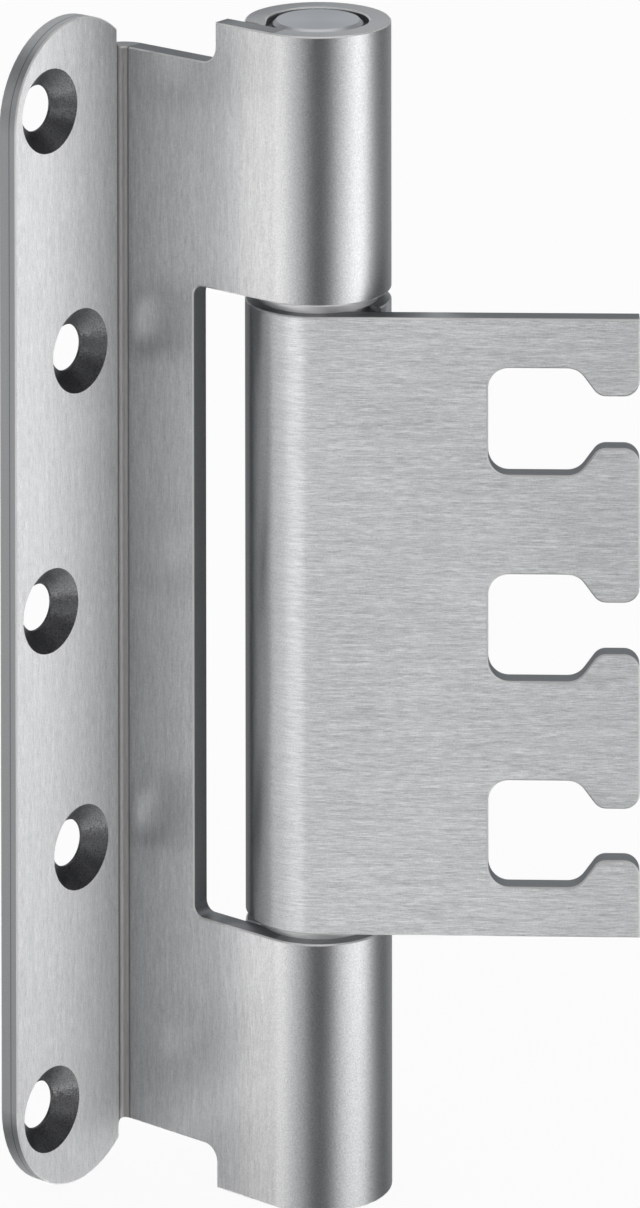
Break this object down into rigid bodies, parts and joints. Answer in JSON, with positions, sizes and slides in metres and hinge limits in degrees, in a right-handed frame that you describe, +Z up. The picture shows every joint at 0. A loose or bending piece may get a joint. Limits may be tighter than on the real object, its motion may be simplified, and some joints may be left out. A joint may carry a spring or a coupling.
{
  "type": "rebated door hinge",
  "caption": "Rebated door hinge in satin stainless sheet: a cranked screw leaf and a slotted frame leaf turn on a flush pin with collared bushes.",
  "frame": {"origin": "centre of the middle screw hole on the seat face of the screw plate, at mid height", "axes": "+Z up along the hinge pin, +Y out of the screw plate's seat face into the door edge, -X from the fold towards the screw plate's free edge"},
  "size_m": [0.0526, 0.0703, 0.16],
  "materials": {
    "satin_stainless": "satin, ground lengthwise on the door leaf and crosswise on the frame leaf",
    "pin_steel": "turned",
    "bearing_metal": "bright",
    "sleeve_steel": "dark, dull"
  },
  "bodies": {
    "door_side": {"door_leaf": "satin_stainless", "hinge_pin": "pin_steel", "upper_pin_sleeve": "sleeve_steel", "lower_pin_sleeve": "sleeve_steel"},
    "frame_side": {"frame_leaf": "satin_stainless", "upper_bearing_bush": "bearing_metal", "lower_bearing_bush": "bearing_metal"}
  },
  "joints": [
    {"name": "door_swing", "type": "hinge", "parent": "door_side", "child": "frame_side", "pos_m": [0.0253, -0.0294, 0], "axis": [0, 0, 1], "range_deg": [-126.4, 53.6]}
  ]
}
